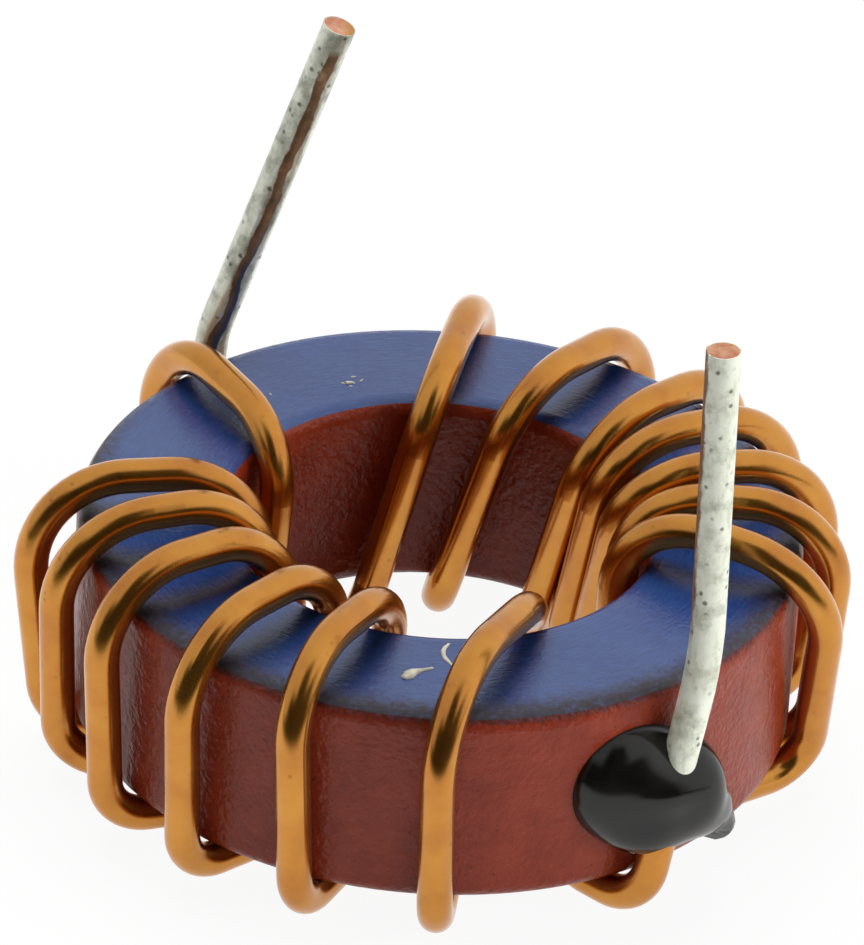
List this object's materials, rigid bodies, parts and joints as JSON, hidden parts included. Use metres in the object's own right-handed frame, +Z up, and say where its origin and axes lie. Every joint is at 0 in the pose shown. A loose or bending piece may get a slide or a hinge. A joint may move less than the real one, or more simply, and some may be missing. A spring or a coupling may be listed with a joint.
{
  "type": "toroidal inductor",
  "caption": "Ring-shaped powder-iron inductor wound with thick amber enamelled wire, with two straight tinned leads rising past its painted face.",
  "frame": {"origin": "on the ring's axis, on the plane that the bottoms of the turns stand on", "axes": "+Z up along the ring's axis, the way the leads rise; +X to the right and +Y to the back, with the leads at the back left and at the front right"},
  "size_m": [0.0309, 0.0309, 0.0237],
  "materials": {
    "red_coating": "brick red epoxy coating with a fine orange-peel surface",
    "blue_paint": "blue paint, worn grey-brown along its edge",
    "enamelled_wire": "glossy amber enamel over copper",
    "bright_tin": "glossy solder tin",
    "frosted_tin": "frosted solder tin with small pits",
    "black_epoxy": "glossy black epoxy"
  },
  "bodies": {
    "root": {"core": "red_coating", "face_paint": "blue_paint", "winding": "enamelled_wire", "tin_back": "bright_tin", "tin_front": "frosted_tin", "epoxy_front": "black_epoxy"}
  },
  "joints": []
}
